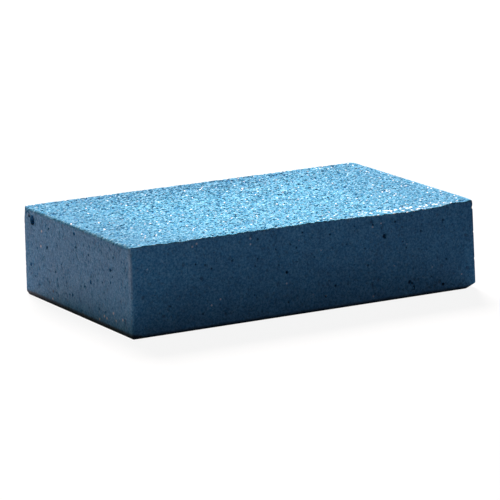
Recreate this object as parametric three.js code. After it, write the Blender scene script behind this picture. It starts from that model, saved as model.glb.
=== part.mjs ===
// Handle-less grout float: one block of blue expanded rubber, held in the palm
// to push grout into tile joints and to rub the joints clean.
//
// Millimetres, +Z up. The block lies on one of its two broad faces. The origin is
// on that face, under the middle of the block. X runs along the length and Y
// across the width.
//
// The real tool is sawn in one piece from a slab of cellular rubber. It has no
// handle, backing plate, glue line or fastener, so the model is one solid.

import * as THREE from 'three';

// --- Driving dimensions ---------------------------------------------------

const blockLength = 150;
const blockWidth = 90;
const blockHeight = 35;

// Radius of the four upright edges, seen from above.
const uprightEdgeRadius = 1.6;

// Radius of the edges that run round the two broad faces.
const broadFaceEdgeRadius = 0.9;

// The saw cut at the +X end leans: its top sits back this far from its foot.
const endOutOfSquare = 1.3;

// --- Facets ---------------------------------------------------------------

const segmentsPerUprightEdge = 8;
const segmentsPerBroadFaceEdge = 5;

// --- Finish ---------------------------------------------------------------

const blueRubber = new THREE.MeshStandardMaterial({
  color: 0x3a7fa6,
  roughness: 0.9,
  metalness: 0,
});

// A rectangle about the origin with its four corners rounded by arcs.
function roundedRectangle(length, width, radius) {
  const x = length / 2 - radius;
  const y = width / 2 - radius;
  const quarterTurn = Math.PI / 2;
  const outline = new THREE.Shape();
  outline.absarc(x, y, radius, 0, quarterTurn, false);
  outline.absarc(-x, y, radius, quarterTurn, 2 * quarterTurn, false);
  outline.absarc(-x, -y, radius, 2 * quarterTurn, 3 * quarterTurn, false);
  outline.absarc(x, -y, radius, 3 * quarterTurn, 4 * quarterTurn, false);
  outline.closePath();
  return outline;
}

// The outline is drawn inside the block by the broad-face edge radius. The
// bevel of the extrusion then brings the sides out to full length and width.
function roundedBlock() {
  const outline = roundedRectangle(
    blockLength - 2 * broadFaceEdgeRadius,
    blockWidth - 2 * broadFaceEdgeRadius,
    uprightEdgeRadius - broadFaceEdgeRadius,
  );
  const geometry = new THREE.ExtrudeGeometry(outline, {
    depth: blockHeight - 2 * broadFaceEdgeRadius,
    curveSegments: segmentsPerUprightEdge,
    bevelThickness: broadFaceEdgeRadius,
    bevelSize: broadFaceEdgeRadius,
    bevelSegments: segmentsPerBroadFaceEdge,
  });
  return geometry.translate(0, 0, broadFaceEdgeRadius);
}

// Draws the +X end back towards the top, in proportion to the distance from
// the -X end. Every face stays flat, and the foot keeps its full length.
function leanEnd(geometry) {
  const position = geometry.getAttribute('position');
  const footHeight = broadFaceEdgeRadius;
  for (let i = 0; i < position.count; i += 1) {
    const rise = Math.max(0, position.getZ(i) - footHeight) / (blockHeight - footHeight);
    const along = position.getX(i) / blockLength + 0.5;
    position.setX(i, position.getX(i) - endOutOfSquare * rise * along);
  }
  geometry.computeVertexNormals();
  return geometry;
}

const rubberBlock = new THREE.Mesh(leanEnd(roundedBlock()), blueRubber);
rubberBlock.name = 'rubber_block';

const groutFloat = new THREE.Group();
groutFloat.add(rubberBlock);

export default groutFloat;
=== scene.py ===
# %% [markdown]
# # A handle-less grout float in blue cellular rubber
#
# Tilers hold this block in the palm. It pushes grout into the joints and then
# rubs them clean. The whole tool is one block of expanded rubber, sawn from a
# slab. The saw opens the gas bubbles on the broad faces, so they feel like
# pumice. The narrow sides are denser, and only a few bubbles break through
# them as pinholes.
#
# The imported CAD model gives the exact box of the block. This lesson keeps that
# box and works everything into it: worn edges, open cells and pinholes.

import itertools
import math

import bmesh
import bpy
import numpy as np
from mathutils import Matrix, Vector


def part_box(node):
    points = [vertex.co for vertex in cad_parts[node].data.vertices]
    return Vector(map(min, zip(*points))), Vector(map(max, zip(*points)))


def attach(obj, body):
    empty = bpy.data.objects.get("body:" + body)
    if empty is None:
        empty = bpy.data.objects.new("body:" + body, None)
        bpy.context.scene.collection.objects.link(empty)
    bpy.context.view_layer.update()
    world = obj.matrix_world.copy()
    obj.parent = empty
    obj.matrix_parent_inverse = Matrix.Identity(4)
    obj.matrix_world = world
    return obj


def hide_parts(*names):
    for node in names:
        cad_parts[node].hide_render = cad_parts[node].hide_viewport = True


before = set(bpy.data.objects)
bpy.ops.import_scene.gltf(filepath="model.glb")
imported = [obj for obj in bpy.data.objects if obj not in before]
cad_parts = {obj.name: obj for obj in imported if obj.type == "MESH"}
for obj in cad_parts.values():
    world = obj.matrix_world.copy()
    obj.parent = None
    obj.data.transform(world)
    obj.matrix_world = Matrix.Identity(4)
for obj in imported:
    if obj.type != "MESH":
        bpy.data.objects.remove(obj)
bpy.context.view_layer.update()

# %% [markdown]
# ## Units and colours
#
# Blender works in metres here, and the sizes of a foam are millimetres, so one
# name turns one into the other. Colours are easier to pick as sRGB hex values.
# A shader wants linear light, so one function turns hex values into that.

# %% Units and colours
MM = 0.001


def linear(hex_colour):
    """An sRGB hex value such as "3a7fa6" as a linear RGBA colour."""
    shares = [int(hex_colour[i:i + 2], 16) / 255 for i in (0, 2, 4)]
    return [s / 12.92 if s <= 0.04045 else ((s + 0.055) / 1.055) ** 2.4 for s in shares] + [1.0]


print("mid blue in linear light:", [round(c, 3) for c in linear("3a7fa6")])

# %% [markdown]
# ## What the CAD says about the shape
#
# The saw cut at the +X end isn't quite square: its top edge sits back from its
# foot. The CAD node holds that lean, so it is measured there and not typed in
# again. The broad faces at the top and at the bottom give two lengths, and
# their difference is the lean.

# %% Measure the lean of the sawn end
NODE = "rubber_block"
FLAT = 0.01 * MM
low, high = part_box(NODE)
size = high - low


def furthest_along(height):
    """The largest X on the broad face at this height."""
    corners = [v.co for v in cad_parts[NODE].data.vertices]
    return max(c.x for c in corners if abs(c.z - height) < FLAT)


end_lean = furthest_along(low.z) - furthest_along(high.z)
print("the top of the +X end sits back by", round(end_lean / MM, 2), "mm")

# %% [markdown]
# ## The sawn block
#
# A cube, stretched to the box, is the slab offcut. A bevel gives every edge a
# small radius, because rubber this soft never keeps a knife edge. Then the long
# edges are cut into equal steps, one direction at a time. That leaves a net of
# small, nearly square faces on which the foam can be carved. A Subdivision
# Surface would do this too, but it would also soften the edges again.
#
# The top needs the finest net, because its cells are under a millimetre. The
# sides share its fine steps along their length. Up their height the steps are
# about twice as long, since the sides are smoother. The underside is left open
# here.

# %% Cut the block and its net
EDGE_RADIUS = 0.45 * MM
EDGE_STEPS = 3
BROAD_STEP = 0.31 * MM
SIDE_STEP = 0.6 * MM
LONG_SHARE = 0.8


def steps(axis, step):
    """How many equal steps of about this size fit along one side of the block."""
    return round(size[axis] / step)


def cut_along(bm, axis, step):
    """Cuts all long edges that run along one axis into equal steps."""
    shortest = LONG_SHARE * size[axis]
    long_edges = [e for e in bm.edges if abs(e.verts[1].co[axis] - e.verts[0].co[axis]) > shortest]
    bmesh.ops.subdivide_edges(bm, edges=long_edges, cuts=steps(axis, step) - 1, use_grid_fill=True)


block = bmesh.new()
bmesh.ops.create_cube(block, size=1.0)
bmesh.ops.scale(block, vec=size, verts=block.verts)
bmesh.ops.translate(block, vec=(low + high) / 2, verts=block.verts)
bmesh.ops.bevel(
    block, geom=block.edges[:], offset=EDGE_RADIUS, offset_type="OFFSET",
    segments=EDGE_STEPS, profile=0.5, affect="EDGES", material=-1,
)
underside = min(block.faces, key=lambda face: face.calc_center_median().z)
bmesh.ops.delete(block, geom=[underside], context="FACES_ONLY")
for axis, step in enumerate((BROAD_STEP, BROAD_STEP, SIDE_STEP)):
    cut_along(block, axis, step)
rim = [e for e in block.edges if e.is_boundary]
print("net of the top and the sides:", len(block.faces), "faces")

# %% [markdown]
# ## Close the underside
#
# Nobody sees the underside while the block is at work. It could share the net
# of the top, but a coarser grid saves more than a hundred thousand faces. The
# grid is a little smaller than the hole, and bridging the two rims makes the
# band of faces between them. A grid faces up when it is made, so it is turned
# over.

# %% Close the underside with a coarser net
UNDERSIDE_STEP = 0.75 * MM

base = bmesh.ops.create_grid(
    block, x_segments=steps(0, UNDERSIDE_STEP), y_segments=steps(1, UNDERSIDE_STEP), size=0.5,
)["verts"]
inner = size - Vector((1, 1, 0)) * 2 * (EDGE_RADIUS + UNDERSIDE_STEP)
bmesh.ops.scale(block, vec=(inner.x, inner.y, 1), verts=base)
bmesh.ops.rotate(block, matrix=Matrix.Rotation(math.pi, 3, "X"), verts=base)
bmesh.ops.translate(block, vec=((low.x + high.x) / 2, (low.y + high.y) / 2, low.z), verts=base)
base_rim = [e for e in {e for v in base for e in v.link_edges} if e.is_boundary]
bmesh.ops.bridge_loops(block, edges=rim + base_rim)
bmesh.ops.recalc_face_normals(block, faces=block.faces)
print("net:", len(block.verts), "points,", len(block.faces), "faces,",
      sum(e.is_boundary for e in block.edges), "open edges")

# %% [markdown]
# ## Where the pinholes are
#
# A bubble of more than half a millimetre that meets a side leaves a hole that the eye finds at once.
# Those are listed one by one, on the front and on the left end, and so are some grains of chalk that the
# mixer left whole in the left end. Lists like these stay short, because the rest is scattered with a
# fixed seed: many small holes and few large ones.

# %% Holes and grains listed one by one
FRONT_HOLES = [  # X, Z and radius in mm
    (34.5, 25.5, 0.85), (45.0, 6.0, 0.8), (46.2, 5.4, 0.55), (39.5, 30.5, 0.5), (60.0, 3.2, 0.6),
    (-9.0, 17.0, 0.6), (12.0, 9.0, 0.55), (-4.5, 26.0, 0.4), (-32.5, 24.5, 0.4), (-13.5, 26.5, 0.35),
]
LEFT_HOLES = [  # Y, Z and radius in mm
    (37.5, 30.6, 2.0), (40.2, 32.0, 0.8), (1.5, 31.8, 0.75), (25.0, 22.2, 0.6), (0.5, 26.7, 0.4),
    (-10.3, 25.7, 0.45), (39.6, 12.6, 0.55), (13.0, 17.7, 0.4), (-27.8, 23.2, 0.65), (-29.5, 21.0, 0.4),
    (-11.3, 15.4, 0.65), (32.6, 6.0, 0.45), (-6.2, 12.8, 0.45), (21.0, 5.5, 0.5), (4.2, 7.4, 0.6),
    (9.8, 6.9, 0.4), (-17.8, 6.5, 0.5),
]
CHALK_GRAINS = [  # Y and Z in mm
    (40.5, 32.0), (29.5, 27.5), (30.5, 21.5), (21.0, 5.5), (21.5, 2.5), (-18.0, 2.5), (-22.0, 4.5),
    (-24.0, 4.0), (-29.5, 7.0), (-31.5, 4.5), (-37.0, 6.0),
]
GRAIN_RADIUS = 0.4 * MM
FRONT, BACK, LEFT, RIGHT = Vector((0, -1, 0)), Vector((0, 1, 0)), Vector((-1, 0, 0)), Vector((1, 0, 0))


def on_side(outward, across, up):
    """The point of a side face at this distance across and this height."""
    if outward.x:
        return Vector((high.x if outward.x > 0 else low.x, across, up))
    return Vector((across, high.y if outward.y > 0 else low.y, up))


holes = [(on_side(FRONT, x * MM, z * MM), FRONT, r * MM) for x, z, r in FRONT_HOLES]
holes += [(on_side(LEFT, y * MM, z * MM), LEFT, r * MM) for y, z, r in LEFT_HOLES]
grains = [on_side(LEFT, y * MM, z * MM) for y, z in CHALK_GRAINS]
print("placed by hand:", len(holes), "pinholes and", len(grains), "grains of chalk")

# %% Scatter the small pinholes
HOLES_PER_CM2 = 2.4
CM2_PER_M2 = 1e4
SIDE_MARGIN = 2.5 * MM
SMALLEST, SPREAD = 0.18 * MM, 0.32 * MM

rng = np.random.default_rng(41)
for outward in (FRONT, BACK, LEFT, RIGHT):
    axis = 1 if outward.x else 0
    area = size[axis] * size.z
    for _ in range(round(HOLES_PER_CM2 * area * CM2_PER_M2)):
        across = rng.uniform(low[axis] + SIDE_MARGIN, high[axis] - SIDE_MARGIN)
        up = rng.uniform(low.z + SIDE_MARGIN, high.z - SIDE_MARGIN)
        radius = SMALLEST + SPREAD * rng.random() ** 3
        holes.append((on_side(outward, across, up), outward, radius))
print(len(holes), "pinholes in the four sides")

# %% [markdown]
# ## A finer net round each hole
#
# A hole of one millimetre needs more points than the plain net has there. The
# edges near each hole and each grain are cut again, so the net is fine only
# where it counts.

# %% Refine the net round the holes
REFINE_REACH = 1.4
REFINE_CUTS = 3

block.verts.ensure_lookup_table()
places = np.array([v.co for v in block.verts])
small_things = [(centre, radius) for centre, _, radius in holes]
small_things += [(centre, GRAIN_RADIUS) for centre in grains]
nearby = set()
for centre, radius in small_things:
    distance = np.abs(places - np.array(centre)).max(axis=1)
    for index in np.flatnonzero(distance < REFINE_REACH * radius):
        nearby.update(block.verts[index].link_edges)
bmesh.ops.subdivide_edges(block, edges=list(nearby), cuts=REFINE_CUTS, use_grid_fill=True)

mesh = bpy.data.meshes.new("rubber_block_foam")
block.to_mesh(mesh)
block.free()
count = len(mesh.vertices)
print("net with its fine patches:", count, "points")

# %% [markdown]
# ## Edges that have been used
#
# A float wears where it is pushed. Here the left end has rounded most, along
# its top edge and up its two corners, and the other edges keep small radii.
# Wear between two faces is a rolling radius: points that stand outside the
# rounding are drawn onto it, and the radius may change along the edge. A bevel
# can't change its radius along an edge, so this is done point by point.
#
# Two lower corners have lost a flake as well. A flake leaves a flat, so points
# beyond a slanting plane are laid back onto it.

# %% Functions for wear
FACES = {  # axis, way into the rubber, position
    "left": (0, 1, low.x), "right": (0, -1, high.x), "front": (1, 1, low.y),
    "back": (1, -1, high.y), "bottom": (2, 1, low.z), "top": (2, -1, high.z),
}
TINY = 1e-9


def ramp(value, start, stop):
    """Rises smoothly from 0 at start to 1 at stop, both in mm."""
    share = np.clip((value / MM - start) / (stop - start), 0, 1)
    return share * share * (3 - 2 * share)


def wear(points, first, second, radius):
    """Rounds the edge between two faces; the radius is one length or one per point."""
    sides = [FACES[first], FACES[second]]
    gaps = [np.maximum(radius - way * (points[:, axis] - wall), 0) for axis, way, wall in sides]
    reach = np.hypot(*gaps)
    outside = (gaps[0] > 0) & (gaps[1] > 0) & (reach > radius)
    pull = np.where(outside, radius / np.maximum(reach, TINY), 1)
    for (axis, way, wall), gap in zip(sides, gaps):
        moved = wall + way * (radius - gap * pull)
        points[:, axis] = np.where(outside, moved, points[:, axis])


def knock_off(points, faces, lengths):
    """Flattens a corner; the flat meets the three edges at these lengths in mm."""
    slant, corner = np.zeros(3), np.zeros(3)
    for name, length in zip(faces, lengths):
        axis, way, wall = FACES[name]
        slant[axis], corner[axis] = -way / (length * MM), wall
    steepness = np.linalg.norm(slant)
    beyond = ((points - corner) @ slant + 1) / steepness
    points -= np.outer(np.maximum(beyond, 0), slant / steepness)


# %% Wear down the top edge at the front
# The top sags towards the front near the +X end, where it has been rubbed most.
# All along that edge it has small dips as well, of random depth and one every
# few cells, which make the edge ragged.
SAG_DEPTH, NICK_DEPTH = 0.9, 0.5  # mm
NICK_STEP = 1.6 * MM

points = np.empty(3 * count)
mesh.vertices.foreach_get("co", points)
points = points.reshape(-1, 3)
x, y, z = points.T.copy()

near_top = ramp(z, 30, 35)
sag = ramp(x, 8, 40) * (1 - ramp(x, 57, 68)) * ramp(-y, 32, 47)
stations = np.arange(low.x, high.x + NICK_STEP, NICK_STEP)
nicks = np.interp(x, stations, np.random.default_rng(5).random(len(stations))) * ramp(-y, 42, 45)
points[:, 2] -= (SAG_DEPTH * sag + NICK_DEPTH * nicks) * near_top * MM
print("the front edge has dips at", len(stations), "stations")

# %% Round the edges and knock off two corners
RADII = [  # two faces and the radius of the edge between them in mm
    ("front", "left", 1.1 + 1.5 * ramp(z, 27, 35)),
    ("back", "left", 0.8 + 1.0 * ramp(z, 29, 35)),
    ("front", "right", 0.5),
    ("back", "right", 0.6),
    ("top", "left", 1.8 - 0.5 * ramp(y, -44, 10)),
    ("top", "front", 0.6 + 0.5 * ramp(x, 60, 74)),
    ("top", "back", 0.7),
    ("top", "right", 0.5),
] + [("bottom", side, 0.6) for side in ("front", "left", "back", "right")]
for first, second, radius in RADII:
    wear(points, first, second, radius * MM)
knock_off(points, ("right", "front", "bottom"), (5.0, 7.0, 2.0))
knock_off(points, ("left", "back", "bottom"), (2.2, 3.0, 1.5))
mesh.vertices.foreach_set("co", points.ravel())
mesh.update()
print(len(RADII), "edges worn and two corners knocked off")

# %% [markdown]
# ## Bubbles that a cut opens
#
# Foam is a packing of round bubbles. A plane that passes through it opens the
# ones it meets, and each leaves a bowl. So the relief isn't drawn as noise: the
# bubbles are laid out in space, one in each cell of a jittered grid, and each
# point of the surface sinks to the floor of the deepest bowl that it is over.

# %% A function that carves bowls
TABLE_ROWS = 4096
GRID_PRIMES = np.array([73, 619, 2903])


def bowl_depth(points, inward, pitch, radii, share, seed):
    """How far each point of a cut sinks into the bubbles that the cut opens."""
    table = np.random.default_rng(seed).random((TABLE_ROWS, 5))
    home = np.floor(points / pitch).astype(int)
    depth = np.zeros(len(points))
    for step in itertools.product((-1, 0, 1), repeat=3):
        cell = home + step
        row = table[(cell @ GRID_PRIMES) % TABLE_ROWS]
        radius = (radii[0] + (radii[1] - radii[0]) * row[:, 3] ** 2) * (row[:, 4] < share)
        to_centre = (cell + row[:, :3]) * pitch - points
        sunk = (to_centre * inward).sum(axis=1)
        across_squared = (to_centre ** 2).sum(axis=1) - sunk ** 2
        half = np.sqrt(np.maximum(radius ** 2 - across_squared, 0))
        depth = np.maximum(depth, np.where(np.abs(sunk) < half, sunk + half, 0))
    return depth


def softly_capped(depth, cap):
    """Depths that level off at the cap, so that no bowl turns into a shaft."""
    return cap * np.tanh(depth / cap)


# %% [markdown]
# ## Carve the foam
#
# The broad faces are open-celled all over, with fine cells and some coarse
# ones. The cut is roughest in the middle and towards the back, and the cells
# get shallow near the rims, where rubbing has worn their walls down. On the
# sides a dense skin covers the foam: only the bubbles that are deeper than the
# skin is thick come through it.

# %% Work out the relief
FINE_PITCH, FINE_RADII = 0.9 * MM, (0.36 * MM, 0.7 * MM)
COARSE_PITCH, COARSE_RADII, COARSE_SHARE = 2.4 * MM, (0.45 * MM, 1.0 * MM), 0.35
CELL_CAP = 0.95 * MM
SKIN = 0.55 * MM
SKIN_TILT, TILT_BAND = 0.12, 0.4
RUGGED_LEAST, RUGGED_BACK, RUGGED_MIDDLE = 0.36, 0.45, 0.5

normals = np.empty(3 * count, dtype=np.float32)
mesh.vertex_normals.foreach_get("vector", normals)
outward_normals = normals.reshape(-1, 3).astype(float)
inward = -outward_normals
x, y, z = points.T
from_rim = np.minimum.reduce([x - low.x, high.x - x, y - low.y, high.y - y])

sawn_face = np.clip((np.abs(inward[:, 2]) - SKIN_TILT) / TILT_BAND, 0, 1)
along, across = (x - low.x) / size.x, (y - low.y) / size.y
middle = np.sin(math.pi * (0.12 + 0.76 * along))
ruggedness = RUGGED_LEAST + RUGGED_BACK * across + RUGGED_MIDDLE * middle
from_edge = np.where(z > size.z / 2, 0.3 + 0.7 * ramp(from_rim, 0.3, 1.6), ramp(from_rim, 0.8, 2.5))

fine = bowl_depth(points, inward, FINE_PITCH, FINE_RADII, 1.0, seed=7)
coarse = bowl_depth(points, inward, COARSE_PITCH, COARSE_RADII, COARSE_SHARE, seed=8)
open_cells = softly_capped(np.maximum(fine, coarse), CELL_CAP)
sawn_cells = open_cells * sawn_face * from_edge * ruggedness
pores = np.maximum(open_cells - SKIN, 0) * (1 - sawn_face) * ramp(from_rim + z, 0.5, 1.5)
print("deepest sawn cell:", round(sawn_cells.max() / MM, 2), "mm")

# %% [markdown]
# ## Marks of use and painted shade
#
# The material will need to know where the block is different, so each such place becomes a value from 0
# to 1 on the points. Chalk and the rubbed strip are real marks. The dark line along the foot and the
# darker sawn faces are painted shade. Painting masks by hand would do too, but a formula in millimetres
# is easier to change.

# %% Mark the places that look different
GRAIN_FADE = 1.6

left_end = ramp(-x, 70, 74)
# painted contact shadow: a near-black line along the foot of every side, wider on the left end
painted_foot_shadow = (1 - ramp(z, 0.7 + 0.6 * left_end, 1.5 + 0.8 * left_end)) * (1 - ramp(from_rim, 1, 3))
# painted shade: the sawn faces darker towards the left end, the back and the right end
painted_top_shade = np.maximum.reduce([  # the left end, the back and the right end
    1 - ramp(x, -75, -30), ramp(y, 10, 42) * (1 - 0.45 * ramp(x, 0, 60)), 0.85 * ramp(x, 25, 70),
])
rubbed = ramp(-y, 37, 42) * ramp(x, 10, 40) * (1 - ramp(x, 58, 66)) * (z > size.z / 2)
chalk = np.zeros(count)
for centre in grains:
    distance = np.linalg.norm(points - np.array(centre), axis=1)
    chalk = np.maximum(chalk, np.clip(GRAIN_FADE - distance / GRAIN_RADIUS, 0, 1))
print("points in the rubbed strip:", int((rubbed > 0.5).sum()))

# %% Sink the pinholes
HOLE_DEPTH, HOLE_RIM = 1.5, 3
SEARCH_REACH = 1.5
FACING = 0.9
RUBBED_AWAY = 0.5

relief = sawn_cells * (1 - RUBBED_AWAY * rubbed) + pores
# painted shade inside the pores and pinholes, strongest at their middles
painted_pit_shade = pores / (CELL_CAP - SKIN)
for centre, outward, radius in holes:
    near = np.flatnonzero(np.abs(points - np.array(centre)).max(axis=1) < SEARCH_REACH * radius)
    offset = points[near] - np.array(centre)
    sideways = offset - np.outer(offset @ np.array(outward), np.array(outward))
    reach = np.linalg.norm(sideways, axis=1) / radius
    inside = (reach < 1) & (outward_normals[near] @ np.array(outward) > FACING)
    relief[near[inside]] += HOLE_DEPTH * radius * (1 - reach[inside] ** 3) ** 0.5
    painted_pit_shade[near[inside]] = np.maximum(painted_pit_shade[near[inside]], np.minimum(HOLE_RIM - HOLE_RIM * reach[inside], 1))
carved = points + inward * relief[:, None]
print("deepest hole:", round(relief.max() / MM, 2), "mm")

# %% [markdown]
# ## Lean the sawn end
#
# The CAD lean comes in last, as a shear that grows with height and with the
# distance from the square end. Were it applied first, the box that the wear
# works from wouldn't be square. Then the points go back into the mesh, with
# the marks beside them as attributes.

# %% Lean the sawn end and make the object
rise = np.clip((carved[:, 2] - low.z) / size.z, 0, 1)
carved[:, 0] -= end_lean * rise * (carved[:, 0] - low.x) / size.x
mesh.vertices.foreach_set("co", carved.ravel())
mesh.update()
MARKS = {
    "cell_depth": sawn_cells / CELL_CAP, "sawn_face": sawn_face, "painted_pit_shade": painted_pit_shade, "painted_top_shade": painted_top_shade,
    "rubbed": rubbed, "chalk": chalk, "painted_foot_shadow": painted_foot_shadow,
    # painted highlight: a pale line up the front-left corner
    "painted_edge_highlight": ramp(-y, 41.5, 44.5) * ramp(-x, 74.2, 74.9) * ramp(z, 6, 30),
}
for name, values in MARKS.items():
    mesh.attributes.new(name, "FLOAT", "POINT").data.foreach_set("value", values.astype(np.float32))
foam = bpy.data.objects.new("rubber_block_foam", mesh)
bpy.context.scene.collection.objects.link(foam)
mesh.shade_smooth()
print("marks on the foam:", ", ".join(MARKS))

# %% [markdown]
# ## Nodes in one line
#
# A small function adds a node, sets it up and fills its inputs, with a value or
# with a link to a socket, so that a material reads like a recipe.

# %% A function for nodes
rubber = bpy.data.materials.new("blue_cellular_rubber")
rubber.use_nodes = True
tree = rubber.node_tree


def add(kind, inputs=None, out=0, **settings):
    """Adds a shader node, sets it up, gives its inputs values or links, and returns one output."""
    node = tree.nodes.new("ShaderNode" + kind)
    for name, value in settings.items():
        setattr(node, name, value)
    for name, value in (inputs or {}).items():
        if isinstance(value, bpy.types.NodeSocket):
            tree.links.new(value, node.inputs[name])
        else:
            node.inputs[name].default_value = value
    return node.outputs[out]


def per_mm(pitch):
    """The texture scale that makes a pattern repeat about every so many millimetres."""
    return 1 / (pitch * MM)


print("a pattern of 0.8 mm has scale", round(per_mm(0.8)))

# %% [markdown]
# ## The rubber
#
# Rubber is mixed with pigment, chalk and a blowing agent, and cured in a mould.
# The mix is never quite even, which gives a slow mottle. A finer grain
# comes from cells that are too small to carve. Cured rubber is a dielectric
# with an index near 1.5, and foam scatters what it reflects, so it is matt: a
# soft sheen on the skin and hardly any on the sawn faces.
#
# All patterns read Object coordinates, so they run through the block as they
# do in the real slab and meet at the edges without a seam.

# %% Material: marks and patterns
where = add("TexCoord", out="Object")
cell_depth, sawn_face, painted_pit_shade, painted_top_shade, rubbed, chalk, painted_foot_shadow, painted_edge_highlight = (
    add("Attribute", out="Fac", attribute_name=name)
    for name in ("cell_depth", "sawn_face", "painted_pit_shade", "painted_top_shade", "rubbed", "chalk", "painted_foot_shadow", "painted_edge_highlight")
)
READY_NODES = 2  # every new material has a shader and an output
NOISES = ((7, 3, 0.5), (1.3, 4, 0.8), (0.8, 2, 0.8), (1.7, 1, 0.5))  # pitch in mm, detail, roughness
mottle, fleck, grain, blob = (
    add("TexNoise", {"Vector": where, "Scale": per_mm(pitch), "Detail": detail, "Roughness": rough})
    for pitch, detail, rough in NOISES
)
print("patterns and marks:", len(tree.nodes) - READY_NODES, "nodes")

# %% Material: blue rubber, sawn and skin
mottled = add("MapRange", {"Value": mottle, "From Min": 0.3, "From Max": 0.7})
sawn = add("Mix", {0: mottled, 6: linear("4e99b7"), 7: linear("5ba7c2")}, out=2, data_type="RGBA")
skin = add("Mix", {0: mottled, 6: linear("4487b6"), 7: linear("4e93c2")}, out=2, data_type="RGBA")
blue = add("Mix", {0: sawn_face, 6: skin, 7: sawn}, out=2, data_type="RGBA")
print("blue of the skin in linear light:", [round(c, 2) for c in linear("4487b6")[:3]])

# %% [markdown]
# ## White specks and painted glints
#
# Here and there the saw meets a grain of chalk, or leaves a cell wall so thin that it looks white. On
# the top the same dots also stand in for glints, so there they are partly painted highlights. A Voronoi
# texture gives one round dot per cell, and its random cell colour picks the few that show. More show
# towards the +X end, on the side of the lamp's reflection. Torn walls are softer, so a rough noise makes
# those.

# %% Material: specks and painted glints, torn walls and painted highlight beads
SPECK_PITCH = 1.9

dots = {"Vector": where, "Scale": per_mm(SPECK_PITCH)}
pick = add("SeparateColor", {"Color": add("TexVoronoi", dots, out="Color")}, out="Red")
near_centre = add("MapRange", {"Value": add("TexVoronoi", dots), "From Min": 0.26, "From Max": 0.14})
along_block = add("SeparateXYZ", {"Vector": where}, out="X")
sawn_limit = add("MapRange", {
    "Value": along_block, "From Min": low.x, "From Max": high.x, "To Min": 0.93, "To Max": 0.6,
})
limit = add("MapRange", {"Value": sawn_face, "To Min": 0.975, "To Max": sawn_limit})
strength = add("MapRange", {"Value": sawn_face, "To Min": 0.4, "To Max": 1.0})
chosen = add("Math", {0: pick, 1: limit}, operation="GREATER_THAN")
# specks: pale grains on the sides, partly painted glints on the top
specks_and_painted_glints = add("Math", {0: chosen, 1: near_centre}, operation="MULTIPLY")
specks_and_painted_glints = add("Math", {0: specks_and_painted_glints, 1: strength}, operation="MULTIPLY")

torn_share = add("MapRange", {"Value": sawn_face, "To Min": 0.08, "To Max": 0.85})
torn = add("MapRange", {"Value": fleck, "From Min": 0.49, "From Max": 0.65, "To Max": torn_share})
on_top = add("Math", {0: rubbed, 1: sawn_face}, operation="MULTIPLY")
# painted highlights: pale beads in the rubbed strip along the front edge of the top
painted_highlight_beads = add("MapRange", {"Value": blob, "From Min": 0.58, "From Max": 0.65, "To Max": on_top})
print("one dot every", SPECK_PITCH, "mm")

# %% [markdown]
# ## Grain, painted shade, specks, chalk and painted highlights in layers
#
# Each layer has a share, a tint and a way to mix. Some multiply: a fine grain and painted shade in the
# cells, in the pinholes and over most of the sawn faces. The others cover: pale torn walls, specks that
# are partly painted glints, painted highlight beads, chalk, a painted highlight up the front-left corner
# and a painted contact shadow along the foot. The order is the order in which they came onto the block.

# %% Material: the layers
# painted shade in the open cells: the deeper the cell, the darker its floor
painted_cell_shade = add("MapRange", {"Value": cell_depth, "From Min": 0.1, "From Max": 0.65})
tiny_cells = add("MapRange", {"Value": grain, "From Min": 0.38, "From Max": 0.62})
LAYERS = (  # share, tint, way to mix
    (torn, "c9dde9", "MIX"),
    (tiny_cells, "50bcd4", "MULTIPLY"),
    (painted_cell_shade, "00bfec", "MULTIPLY"),
    # painted shade in the pores and pinholes
    (add("Math", {0: painted_pit_shade, 1: 0.7}, operation="MULTIPLY"), "596f7c", "MULTIPLY"),
    # painted shade over most of the sawn faces
    (add("Math", {0: painted_top_shade, 1: sawn_face}, operation="MULTIPLY"), "d5dce3", "MULTIPLY"),
    # pale specks and painted glints
    (specks_and_painted_glints, "f0ecee", "MIX"),
    # painted highlight beads
    (painted_highlight_beads, "e4eef4", "MIX"),
    (add("Math", {0: chalk, 1: 0.75}, operation="MULTIPLY"), "d2ccc2", "MIX"),
    # painted highlight up the front-left corner
    (add("Math", {0: painted_edge_highlight, 1: 0.16}, operation="MULTIPLY"), "c8c4c4", "MIX"),
    # painted contact shadow along the foot
    (add("Math", {0: painted_foot_shadow, 1: 0.9}, operation="MULTIPLY"), "10161c", "MIX"),
)
colour = blue
for share, tint, how in LAYERS:
    colour = add("Mix", {0: share, 6: colour, 7: linear(tint)}, out=2, data_type="RGBA", blend_type=how)
print(len(LAYERS), "layers of colour")

# %% Material: sheen and fine relief
BUMP_DEPTH = 0.2 * MM

shader = tree.nodes["Principled BSDF"].inputs
tree.links.new(colour, shader["Base Color"])
bump = add("Bump", {"Height": grain, "Strength": 0.9, "Distance": BUMP_DEPTH}, out="Normal")
tree.links.new(bump, shader["Normal"])
matt = add("MapRange", {"Value": sawn_face, "To Min": 0.45, "To Max": 0.95})
tree.links.new(matt, shader["Roughness"])
shader["Specular IOR Level"].default_value = 0.2
shader["IOR"].default_value = 1.5
mesh.materials.append(rubber)
print("material", rubber.name, "has", len(tree.nodes), "nodes")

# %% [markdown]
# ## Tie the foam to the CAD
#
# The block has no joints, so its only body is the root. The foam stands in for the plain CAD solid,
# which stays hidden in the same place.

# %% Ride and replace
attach(foam, "root")
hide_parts(NODE)
print(foam.name, "stands in for", NODE)

# %% [markdown]
# ## Floor and world
#
# Only the camera sees the floor, and it throws no light on the block. The sheet
# is grey, but it glows so strongly that it comes out white wherever the lamps
# point, and the block's shadow on it stays faint. The world is plain white and
# lights nothing either. A studio would do this with a lit sweep and a long
# exposure.

# %% Floor and world
ROOM = 8
FLOOR_GAP = 0.02 * MM


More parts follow.
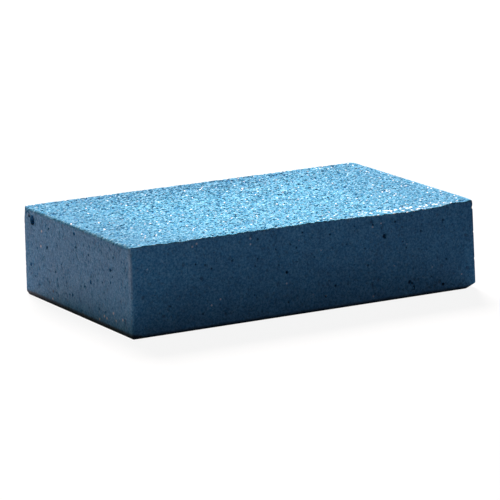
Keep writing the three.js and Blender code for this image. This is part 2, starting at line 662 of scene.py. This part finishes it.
def sheet(name, from_x, to_x, from_y, to_y, height):
    """A level sheet between these limits."""
    bm = bmesh.new()
    bmesh.ops.create_grid(bm, x_segments=1, y_segments=1, size=0.5)
    bmesh.ops.scale(bm, vec=(to_x - from_x, to_y - from_y, 1), verts=bm.verts)
    bmesh.ops.translate(bm, vec=((from_x + to_x) / 2, (from_y + to_y) / 2, height), verts=bm.verts)
    data = bpy.data.meshes.new(name)
    bm.to_mesh(data)
    bm.free()
    piece = bpy.data.objects.new(name, data)
    bpy.context.scene.collection.objects.link(piece)
    return piece


def paper(name, colour, glow=0.0):
    """A matt material of one colour that can glow a little."""
    material = bpy.data.materials.new(name)
    material.use_nodes = True
    inputs = material.node_tree.nodes["Principled BSDF"].inputs
    inputs["Base Color"].default_value = linear(colour)
    inputs["Roughness"].default_value = 1.0
    inputs["Specular IOR Level"].default_value = 0.0
    inputs["Emission Color"].default_value = (1, 1, 1, 1)
    inputs["Emission Strength"].default_value = glow
    return material


floor = sheet("pale_floor", -ROOM, ROOM, -ROOM, ROOM, low.z - FLOOR_GAP)
floor.data.materials.append(paper("white_paper", "464646", glow=0.9))
floor.visible_diffuse = floor.visible_glossy = floor.visible_shadow = False

world = bpy.data.worlds.new("pale_room")
bpy.context.scene.world = world
world.use_nodes = True
world.node_tree.nodes["Background"].inputs["Color"].default_value = (1, 1, 1, 1)
world.node_tree.nodes["Background"].inputs["Strength"].default_value = 1.0
world.cycles_visibility.diffuse = False
world.cycles_visibility.glossy = False
print("floor lies", FLOOR_GAP / MM, "mm under the block")

# %% [markdown]
# ## Cards that throw light back
#
# The sides are in the shade of the main lamp, so nearly all their light comes
# back from the table. Two grey cards do that work, and the camera doesn't see
# them. One lies beside the left end. A darker one lies under the block, and
# both end a short way in front of it. The block's own shadow falls on them, so
# the sides get darker towards the foot.

# %% Lay the two cards
CARD_GAP = 0.1 * MM
IN_FRONT, BEYOND_END = 0.1, 0.01

nearest = low.y - IN_FRONT
cards = [
    sheet("left_card", -ROOM, low.x, nearest, ROOM, low.z - CARD_GAP),
    sheet("front_card", low.x, high.x + BEYOND_END, nearest, ROOM, low.z - CARD_GAP),
]
for card, colour in zip(cards, ("a49c9e", "6c8289")):
    card.data.materials.append(paper(card.name, colour))
    card.visible_camera = False
print("cards:", ", ".join(card.name for card in cards))

# %% [markdown]
# ## Lamps
#
# One large softbox stands behind the block and rather high. It lights the top
# at a slant, so that every open cell shows, and leaves the two near sides in
# the shade.
# Two weak ones keep those sides readable. Area lamps are used because their
# soft edges look like a studio, where a point lamp would draw hard shadows.

# %% Place the lamps
LAMP_AIM = Vector((0, 0, 20 * MM))


def from_block(azimuth, elevation):
    """The way from the block to something at this azimuth and elevation, in degrees."""
    a, e = math.radians(azimuth), math.radians(elevation)
    return Vector((math.sin(a) * math.cos(e), -math.cos(a) * math.cos(e), math.sin(e)))


def softbox(name, azimuth, elevation, distance, width, power, colour):
    """A square lamp that faces the block from this direction."""
    data = bpy.data.lights.new(name, "AREA")
    data.shape = "SQUARE"
    data.size = width
    data.energy = power
    data.color = colour
    lamp = bpy.data.objects.new(name, data)
    way = from_block(azimuth, elevation)
    lamp.location = LAMP_AIM + way * distance
    lamp.rotation_euler = way.to_track_quat("Z", "Y").to_euler()
    lamp.visible_camera = False
    bpy.context.scene.collection.objects.link(lamp)


softbox("key_behind", 164, 43, distance=2.2, width=0.8, power=196, colour=(1.0, 0.91, 0.885))
softbox("left_fill", -115, 12, distance=1.2, width=0.9, power=1.9, colour=(1.1, 0.9, 0.55))
softbox("front_fill", 28, 5, distance=1.5, width=1.0, power=2.8, colour=(1.15, 0.94, 1.0))
print("lamps:", len(bpy.data.lights))

# %% [markdown]
# ## Camera
#
# The camera stands off the front left corner, a little above the block. It is
# far away and has a long lens, as for a catalogue, so parallel edges stay
# nearly parallel. It hangs about a degree out of level.

# %% Place the camera
AZIMUTH, ELEVATION, ROLL = -29.1, 12.7, -1.2
DISTANCE, LENS = 1.41, 262
AIM = Vector((-0.3, -0.6, 16.2)) * MM

camera_data = bpy.data.cameras.new("camera")
camera_data.sensor_width = 36
camera_data.lens = LENS
camera_data.clip_start, camera_data.clip_end = 0.01, 100
camera = bpy.data.objects.new("camera", camera_data)
bpy.context.scene.collection.objects.link(camera)
way = from_block(AZIMUTH, ELEVATION)
camera.matrix_world = (
    Matrix.Translation(AIM + way * DISTANCE)
    @ (-way).to_track_quat("-Z", "Y").to_matrix().to_4x4()
    @ Matrix.Rotation(math.radians(ROLL), 4, "Z")
)
bpy.context.scene.camera = camera
bpy.context.scene.view_settings.view_transform = "Standard"
print("camera stands", DISTANCE, "m away with a lens of", LENS, "mm")
